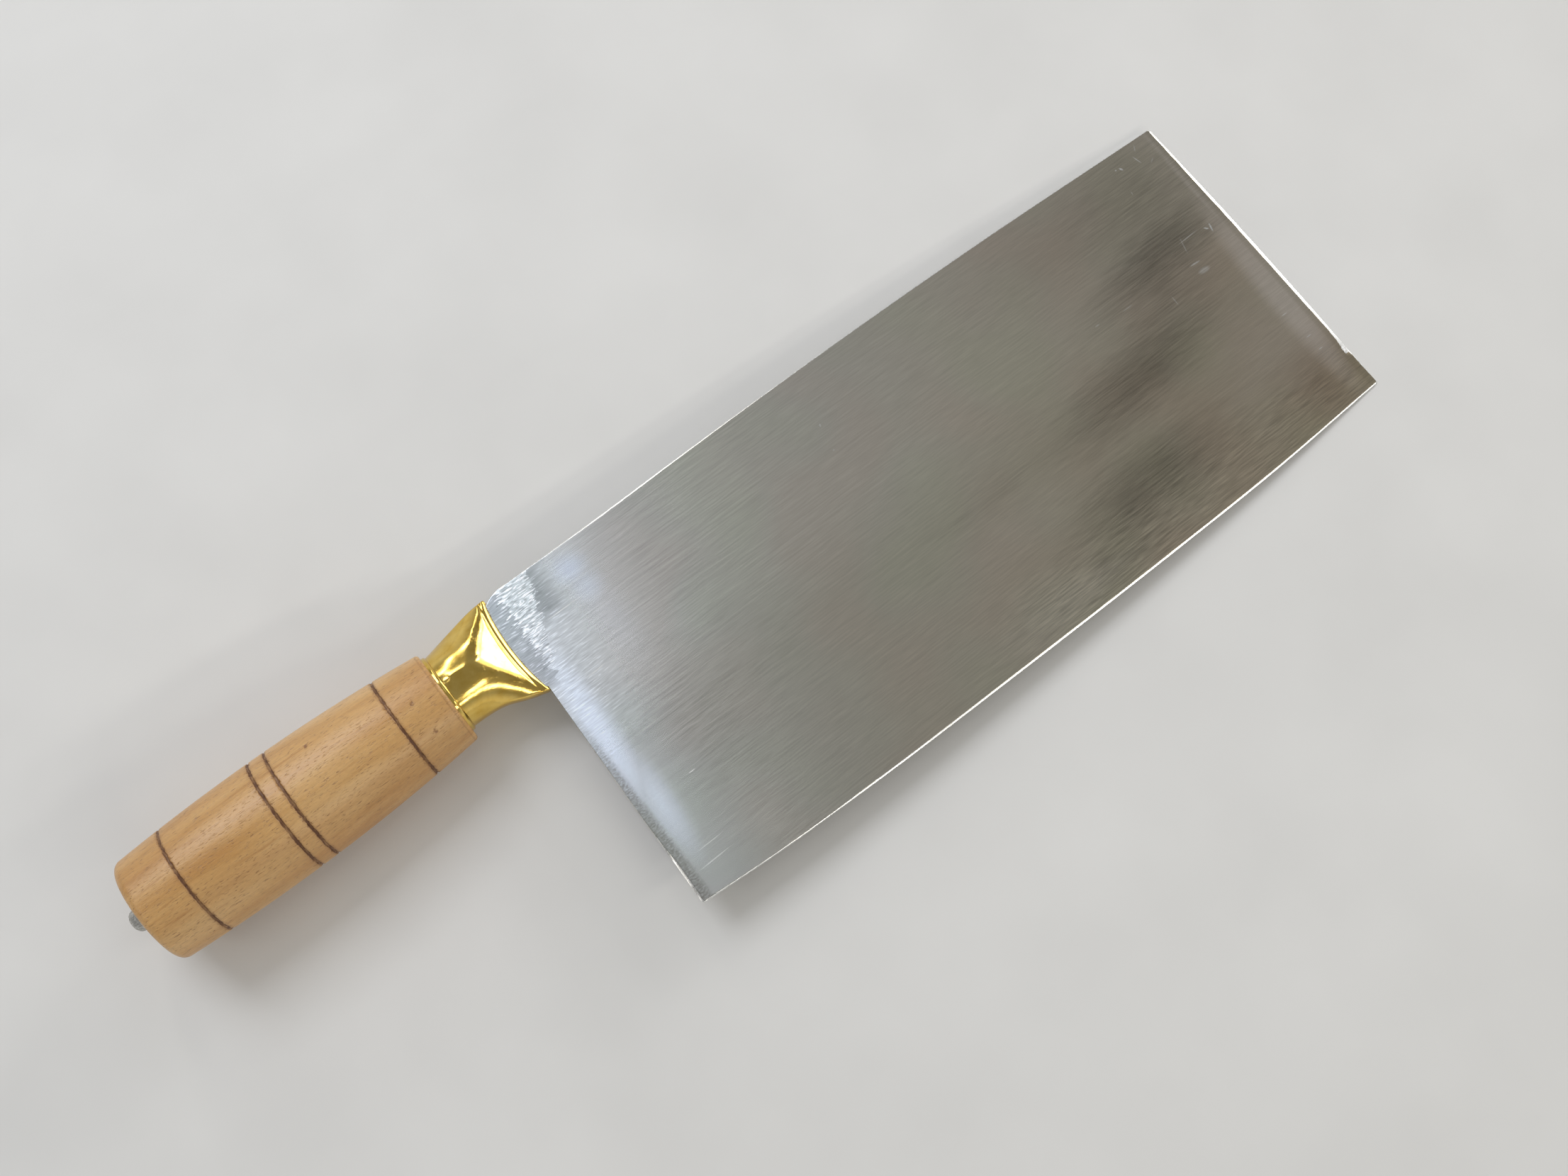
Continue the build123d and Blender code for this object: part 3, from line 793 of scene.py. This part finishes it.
shares = [x / mouth_middle_x for x in ring_places]
shares += [(ring_places[-1] + body_step * n) / mouth_middle_x for n in range(1, body_steps + 1)]
shares += [shares[-1] + (1 - shares[-1]) * n / lip_steps for n in range(1, lip_steps + 1)]
half_rings = [ferrule_half_ring(share) for share in shares]
slot = [
    (x, min(max(y, -slot_half_height), slot_half_height), min(z, slot_half_width))
    for x, y, z in half_rings[-1]
]
half_rings.append(slot)
half_rings.append([(slot_depth_x, y * slot_depth_half_height / slot_half_height, z) for x, y, z in slot])
half_rings += [half_circle(x, 0.0, bore_radius) for x in (bore_front_x, 0.0)]

ferrule_points, ferrule_faces = [], []
for ring in half_rings:
    ferrule_points += ring
    ferrule_points += [(x, y, -z) for x, y, z in reversed(ring[1:-1])]
around = 2 * ferrule_columns
for n in range(len(half_rings)):
    here, beyond = n * around, (n + 1) % len(half_rings) * around
    for m in range(around):
        following = (m + 1) % around
        ferrule_faces.append((here + m, here + following, beyond + following, beyond + m))

# Polished yellow brass: a warm gold mirror, slightly soft from the mop. On the crests between the shoulder
# and the long sides the mop has not reached the bottom of the casting's grain, so they stay dimpled.
polished_brass, tree, ruler, shader = new_finish("polished_cast_brass")
crest = add(tree, "Attribute", attribute_name="crest").outputs["Fac"]
worn = add(tree, "MapRange", (mottle(tree, ruler, (2.5,) * 3, 1.0), 0.35, 0.6))
dimpled = add(tree, "Math", (crest, worn), "MULTIPLY")
dimples = mottle(tree, ruler, (0.6667,) * 3, 3.0, 0.6)
dimples = add(tree, "Math", (dimples, dimpled), "MULTIPLY")
pit_size = add(tree, "MapRange", (mottle(tree, ruler, (3.333,) * 3, 2.0), 0.56, 0.76, -0.05, 0.12))
pit = add(tree, "TexVoronoi", {"Vector": ruler, "Scale": 1.1, "Randomness": 1.0}).outputs["Distance"]
pit = add(tree, "Math", (pit_size, pit), "SUBTRACT")
pit = add(tree, "MapRange", (pit, -0.04, 0.05))
mop_lines = mottle(tree, ruler, (2.0, 0.25, 0.25), 2.0)
base = mottle(tree, ruler, (2.857,) * 3, 4.0)
base = add(tree, "ValToRGB", (base,), ramp=((0.3, "#dcb556"), (0.7, "#ebca72")))
roughness = add(tree, "MapRange", (mop_lines, 0.0, 1.0, 0.07, 0.17))
relief = summed(tree, mop_lines, (pit, -3.0))
bump = add(tree, "Bump", {"Height": relief, "Strength": 0.2, "Distance": 0.00004})
plug(tree, shader, {
    "Base Color": layered(tree, base, (summed(tree, pit, (dimpled, 0.30)), "#8a6a20")),
    "Roughness": summed(tree, roughness, (pit, 0.15), (dimpled, 0.06)),
    "Normal": add(tree, "Bump", {"Height": dimples, "Distance": 0.00012, "Normal": bump}),
    "Metallic": 1.0,
})

ferrule = make_piece("brass_ferrule", ferrule_points, ferrule_faces, [polished_brass], crease=50.0)
crest = ferrule.data.attributes.new("crest", "FLOAT", "POINT")
for vertex, (x, y, z) in enumerate(ferrule_points):
    long_side, shoulder = ferrule_heights(x, y)
    near = max(1 - abs(long_side - shoulder + crest_shift) / crest_width, 0.0)
    near *= smooth_between(*crest_from_mouth, mouth_x(min(max(y, -horn_end_y), horn_end_y)) - x)
    crest.data[vertex].value = near * smooth_between(*crest_from_ridge, abs(y - ridge_y))
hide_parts("ferrule")
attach(ferrule, "root")


# Cement
# Brown pitch and brick dust, poured hot round the tang so that it sets the ferrule and the first part of the
# bore. It is sealed in, and only its skin could ever be seen.

pitch, tree, ruler, shader = new_finish("cutlers_pitch")
grit = mottle(tree, ruler, (0.7143,) * 3, 6.0)
plug(tree, shader, {
    "Base Color": add(tree, "ValToRGB", (grit,), ramp=((0.3, "#2b1b10"), (0.7, "#5a3f28"))),
    "Roughness": 0.8,
    "Normal": add(tree, "Bump", {"Height": grit, "Strength": 0.5, "Distance": 0.0002}),
})
cement = frame["nodes"]["cement"]
cement.data.materials.clear()
cement.data.materials.append(pitch)


# Handle
# Close-grained pale hardwood, turned between centres to a slight barrel and sanded. Four lines were scored
# and burnt in with a wire while it spun, and a tenon at its front end is driven into the ferrule.

handle_length, handle_radius, handle_arc_radius = 86.8, 15.5, 490.0
front_round, butt_round, round_steps = 0.9, 2.2, 8
tenon_radius, tenon_length = 7.5, 5.8
handle_bore = 3.5
line_places = (-13.1, -43.4, -48.0, -73.5)
line_half_width, line_depth, line_raggedness = 0.50, 0.28, 0.20
chip_depth = 0.22
wood_step, step_near_line, step_in_line = 0.85, 0.3, 0.1
line_reach, line_near, least_step = 0.8, 1.5, 0.05
butt_face_radii, front_face_radius, bore_middle_x = (6.0, 9.0), 10.0, -40.0
handle_steps = 288


def wood_radius(x):
    """The barrel's radius at a place along the handle."""
    return handle_radius - handle_arc_radius + math.sqrt(handle_arc_radius**2 - (x - wood_widest_x) ** 2)


def rounding(size):
    """How far a rounded rim stands back along the axis and in radius, from its end face to the barrel."""
    angles = [math.pi / 2 * step / round_steps for step in range(round_steps + 1)]
    return [(size * (1 - math.cos(angle)), size * (1 - math.sin(angle))) for angle in angles]


wood_profile = [(-handle_length, radius) for radius in (handle_bore, *butt_face_radii)]
butt_rim, front_rim = wood_radius(butt_round - handle_length), wood_radius(-front_round)
wood_profile += [(back - handle_length, butt_rim - sunk) for back, sunk in rounding(butt_round)]
x = wood_profile[-1][0]
while x < -front_round:
    nearest = min(abs(x - place) for place in line_places)
    x += step_in_line if nearest < line_reach else step_near_line if nearest < line_near else wood_step
    if x < -front_round - least_step:
        wood_profile.append((x, wood_radius(x)))
wood_profile += [(-back, front_rim - sunk) for sunk, back in rounding(front_round)]
wood_profile += [(0.0, front_face_radius), (0.0, tenon_radius), (tenon_length, tenon_radius)]
wood_profile += [(x, handle_bore) for x in (tenon_length, bore_middle_x, -handle_length)]

# The burnt lines: each is a ragged notch round the barrel, with small chips broken out of its edges and of
# the front rim. How deep the burn goes is kept on the mesh for the finish.
line_names = ["Line %d" % (n + 1) for n in range(len(line_places))]
burning, given, burning_inputs = new_tree("burnt_lines", "Turned wood", {
    **dict.fromkeys(line_names + ["Half width", "Depth", "Raggedness", "Chip depth"], "Float"),
    "Finish": "Material",
}, "Burnt wood")
position = add(burning, "GeometryNodeInputPosition")
place_x = add(burning, "SeparateXYZ", (position,)).outputs["X"]
radial = add(burning, "VectorMath", (position, (0, 1, 1)), "MULTIPLY")
radius = add(burning, "VectorMath", (radial,), "LENGTH").outputs["Value"]
outward = add(burning, "VectorMath", (radial,), "NORMALIZE")
outside = add(burning, "MapRange", (radius, 10.5, 11.5))
rag = add(burning, "TexNoise", {"Vector": position, "Scale": 0.85, "Detail": 4.0, "Roughness": 0.65})
rag = add(burning, "Math", (rag, 0.5), "SUBTRACT")
rag = add(burning, "Math", (rag, given["Raggedness"]), "MULTIPLY")
rag = summed(burning, place_x, (rag, 4.0))
notch = -1000.0
for name in line_names:
    gap = add(burning, "Math", (rag, given[name]), "SUBTRACT")
    gap = add(burning, "Math", (gap,), "ABSOLUTE")
    gap = add(burning, "Math", (gap, given["Half width"]), "DIVIDE")
    gap = add(burning, "Math", (1.0, gap), "SUBTRACT")
    notch = add(burning, "Math", (notch, gap), "MAXIMUM")
cut, halo = (
    add(burning, "Math", (
        add(burning, "MapRange", (notch, empty, full), interpolation_type="SMOOTHSTEP"), outside,
    ), "MULTIPLY")
    for empty, full in ((-0.05, 0.6), (-1.1, 0.15))
)
near_rim = add(burning, "MapRange", (place_x, -1.1, -0.4))
near_line = add(burning, "MapRange", (notch, -1.0, -0.3))
chip_zone = add(burning, "Math", (near_rim, near_line), "MAXIMUM")
chips = add(burning, "TexNoise", {"Vector": position, "Scale": 1.3, "Detail": 2.0})
chips = add(burning, "MapRange", (chips, 0.60, 0.68))
for limit in (chip_zone, outside):
    chips = add(burning, "Math", (chips, limit), "MULTIPLY")
depth = add(burning, "Math", (chips, given["Chip depth"]), "MULTIPLY")
depth = summed(burning, depth, (cut, given["Depth"]))
depth = add(burning, "Math", (depth, -1.0), "MULTIPLY")
offset = add(burning, "VectorMath", {0: outward, "Scale": depth}, "SCALE")
wood = given["Turned wood"]
for name, value in (("burn", cut), ("scorch", halo), ("chip", chips)):
    wood = add(burning, "GeometryNodeStoreNamedAttribute", {
        "Geometry": wood, "Name": name, "Value": value,
    }, data_type="FLOAT", domain="POINT")
wood = add(burning, "GeometryNodeSetPosition", {"Geometry": wood, "Offset": offset})
wood = add(burning, "GeometryNodeRealizeInstances", {"Geometry": wood})
wood = add(burning, "GeometryNodeSetMaterial", {"Geometry": wood, "Material": given["Finish"]})
add(burning, "NodeGroupOutput", {"Burnt wood": wood})

# Turned hardwood under a thin rubbed finish: yellowish tan, with quiet streaks along the grain, fibres 0.5 mm
# wide, a few darker pores and pits, and a satin shine.
turned_wood, tree, ruler, shader = new_finish("turned_hardwood")
place_x = add(tree, "SeparateXYZ", (ruler,)).outputs["X"]
tone = mottle(tree, ruler, (55.56, 7.143, 7.143), 5.0, 0.55)
base = add(tree, "ValToRGB", (tone,), ramp=(
    (0.28, "#b37f42"), (0.42, "#bf8f53"), (0.55, "#ca9d62"), (0.72, "#d3aa72"),
))
fibre = mottle(tree, ruler, (8.333, 0.5, 0.5), 4.0, 0.6)
fleck = mottle(tree, ruler, (1.4286, 0.2941, 0.2941), 2.0, warp=0.6)
fibre_tone = add(tree, "MapRange", (fibre, 0.3, 0.7, 0.93, 1.05))
fleck_tone = add(tree, "MapRange", (fleck, 0.35, 0.65, 1.04, 0.93))
base = layered(tree, base, (1.0, fibre_tone), (1.0, fleck_tone), blend="MULTIPLY")

# Pores: few, 0.2 mm wide and some millimetres long. Pits: three on the photographed side, sparse elsewhere.
pores = add(tree, "MapRange", (fleck, 0.61, 0.72, 0.0, 0.75))
veins = mottle(tree, ruler, (28.57, 1.25, 1.25), 3.0, 0.6)
veins = add(tree, "MapRange", (veins, 0.60, 0.72, 0.0, 0.5))
pit_drift = drifted(tree, ruler, mottle(tree, ruler, (0.625,) * 3, 2.0), (1.6, 1.6, 1.6))
pits = add(tree, "VectorMath", (pit_drift, (0.4, 1.0, 1.0)), "MULTIPLY")
pits = add(tree, "TexVoronoi", {"Vector": pits, "Scale": 0.13, "Randomness": 1.0}).outputs["Distance"]
pits = add(tree, "MapRange", (pits, 0.07, 0.03, 0.0, 0.7))
for pit_place in ((-7.8, 0.7, 13.6), (-7.1, -7.9, 11.0), (-33.7, 7.4, 13.3)):
    pit = add(tree, "VectorMath", (pit_drift, pit_place), "DISTANCE").outputs["Value"]
    pit = add(tree, "MapRange", (pit, 0.75, 0.25, 0.0, 0.8))
    pits = add(tree, "Math", (pits, pit), "MAXIMUM")

# The burnt lines, with a faint scorch beside them, the chips, and a thin darker line just behind the front
# rim.
burn, scorch, chip = (
    add(tree, "Attribute", attribute_name=name).outputs["Fac"] for name in ("burn", "scorch", "chip")
)
scorch_tone = add(tree, "Math", (scorch, 0.30), "MULTIPLY")
soot = mottle(tree, ruler, (0.8333, 2.857, 2.857), 3.0, 0.6)
soot = add(tree, "MapRange", (soot, 0.36, 0.56, 0.45, 1.0))
burn_tone = add(tree, "MapRange", (burn, 0.1, 0.7))
burn_tone = add(tree, "Math", (burn_tone, soot), "MULTIPLY")
rim_line = summed(tree, 0.55, (fleck, 0.8), (place_x, 1.0))
rim_line = add(tree, "Math", (rim_line,), "ABSOLUTE")
rim_line = add(tree, "MapRange", (rim_line, 0.24, 0.08, 0.0, 0.32))
roughness = add(tree, "MapRange", (fibre, 0.0, 1.0, 0.30, 0.46))
relief = summed(tree, fibre, (fleck, -0.8), (pores, -1.5), (pits, -3.0))
plug(tree, shader, {
    "Base Color": layered(
        tree, base, (veins, "#a5713a"), (pores, "#8f6336"), (pits, "#7a4c26"), (scorch_tone, "#7a4a26"),
        (chip, "#8a6038"), (rim_line, "#8a5a2a"), (burn_tone, "#643e21"),
    ),
    "Roughness": summed(tree, roughness, (burn_tone, 0.35)),
    "Normal": add(tree, "Bump", {"Height": relief, "Strength": 0.4, "Distance": 0.00012}),
    "Coat Weight": 0.2, "Coat Roughness": 0.35,
})

line_sizes = (*line_places, line_half_width, line_depth, line_raggedness, chip_depth, turned_wood)
line_values = dict(zip(burning_inputs.values(), line_sizes))
handle_mesh = turned_mesh("handle", wood_profile, handle_steps, turned_wood, more=[(burning, line_values)])
handle = lay_down("wooden_handle", handle_mesh, 60.0)
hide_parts("handle")
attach(handle, "root")


# Butt washer
# A plain punched washer of mild steel that keeps the hammered end of the tang from sinking into the wood.

washer_profile = [(-87.8, 3.02), (-87.8, 5.15), (-87.75, 5.35), (-87.6, 5.52), (-87.35, 5.6), (-86.8, 5.6)]
washer_profile += [(-86.8, 3.02), (-87.8, 3.02)]
washer_steps = 64
washer = turned_mesh("washer", washer_profile, washer_steps, drawn_steel)
washer = lay_down("butt_washer_of_steel", washer, 40.0)
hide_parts("butt_washer")
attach(washer, "root")


# Floor
# A smooth painted board, pale and matt, that the cleaver lies on.

board, tree, ruler, shader = new_finish("matt_painted_board")
paint_tone = mottle(tree, ruler, (50.0,) * 3, 3.0)
plug(tree, shader, {
    "Base Color": add(tree, "ValToRGB", (paint_tone,), ramp=((0.3, "#dcdad6"), (0.7, "#e2e0dc"))),
    "Roughness": 0.9,
})
half_floor = 12.0
floor_mesh = bpy.data.meshes.new("floor")
floor_corners = [(x * half_floor, y * half_floor, 0.0) for x, y in ((-1, -1), (1, -1), (1, 1), (-1, 1))]
floor_mesh.from_pydata(floor_corners, [], [(0, 1, 2, 3)])
floor_mesh.materials.append(board)
floor = bpy.data.objects.new("floor", floor_mesh)
bpy.context.scene.collection.objects.link(floor)


# Light
# A plain pale room, a key box over the handle's spine side, and boxes past the blade's front end and butt.
# The ferrule's curves and the cutting bevel mirror strips beyond the long sides as thin lines, the cheek near
# the ferrule mirrors a strip and a spot above it, and another spot shines where the ferrule's ridge forks.

world = bpy.data.worlds.new("pale_room")
world.use_nodes = True
bpy.context.scene.world = world
room = world.node_tree
room.nodes.clear()
elevation = add(room, "SeparateXYZ", (add(room, "TexCoord").outputs["Generated"],)).outputs["Z"]
walls = add(room, "MapRange", (elevation, 0.05, 0.45, 0.8, 0.32), interpolation_type="SMOOTHSTEP")
walls = add(room, "Background", {"Color": paint("#f6f7f8"), "Strength": walls})
add(room, "OutputWorld", (walls,))


def soft_box(name, place, aim, size, radiance, colour, side=(0.0, 1.0, 0.0)):
    """A lamp at a place in the knife's millimetres, turned to a point, its first side along a direction."""
    lamp = bpy.data.lights.new(name, "AREA")
    lamp.shape = "RECTANGLE"
    lamp.size, lamp.size_y = size[0] * millimetre, size[1] * millimetre
    lamp.energy = radiance * math.pi * lamp.size * lamp.size_y
    lamp.color = paint(colour)[:3]
    back = (Vector(place) - Vector(aim)).normalized()
    edge = (Vector(side) - back * back.dot(Vector(side))).normalized()
    turn = knife_axes @ Matrix((edge, back.cross(edge), back)).transposed()
    holder = bpy.data.objects.new(name, lamp)
    holder.matrix_world = Matrix.Translation(knife_frame @ Vector(place)) @ turn.to_4x4()
    bpy.context.scene.collection.objects.link(holder)


cool, warm, plain = "#f1f6ff", "#fffdf6", "#ffffff"
soft_box("key_box", (-170, 700, 850), (-170, 0, 0), (500, 520), 6.2, cool, side=(1.0, 0.0, 0.0))
soft_box("heel_strip", (80, 60, 990), (25, -40, 0), (300, 34), 2.0, cool)
soft_box("spine_spot", (145, 330, 990), (44, 14, 0), (120, 30), 2.2, cool)
soft_box("rim_box", (-620, 60, 700), (20, -50, 0), (360, 150), 3.5, warm)
soft_box("spine_strip", (235, 822, 531), (10, 2, 6), (430, 48), 11.0, warm, side=(0.045, 0.21, -0.35))
soft_box("edge_strip", (68, -820, 576), (8, -4, 6), (640, 52), 11.0, warm, side=(1.0, 0.0, -0.08))
soft_box("bevel_strip", (591, -687, 672), (180, -83, 0), (480, 110), 7.0, warm, side=(376.0, 76.0, -84.0))
soft_box("front_box", (1385, 225, 500), (20, 0, 0), (740, 660), 1.6, plain)
soft_box("facet_box", (1016, 233, 275), (20, 0, 0), (340, 250), 6.5, plain)
soft_box("ridge_spot", (840, 340, 465), (20, 0, 5), (150, 110), 7.0, plain)


# Camera
# It stands where the photograph was taken from: above the blade's heel, tilted towards the front end.

camera_place = (3.103, -97.417, 396.465)
camera_aim = (84.623, -28.96, 0.0)
camera_roll = 38.664
focal_pixels = 2239.69
image_width = 2212
sensor_width = 36.0

lens = bpy.data.cameras.new("camera")
lens.sensor_width = sensor_width
lens.lens = focal_pixels * sensor_width / image_width
lens.clip_start = 0.01
camera = bpy.data.objects.new("camera", lens)
forward = (Vector(camera_aim) - Vector(camera_place)).normalized()
straight_up = (Vector((0.0, 1.0, 0.0)) - forward * forward.y).normalized()
roll = math.radians(camera_roll)
tilted_up = straight_up * math.cos(roll) + forward.cross(straight_up) * math.sin(roll)
turn = knife_axes @ Matrix((forward.cross(tilted_up), tilted_up, -forward)).transposed()
camera.matrix_world = Matrix.Translation(knife_frame @ Vector(camera_place)) @ turn.to_4x4()
bpy.context.scene.collection.objects.link(camera)
bpy.context.scene.camera = camera
bpy.context.scene.view_settings.view_transform = "Standard"
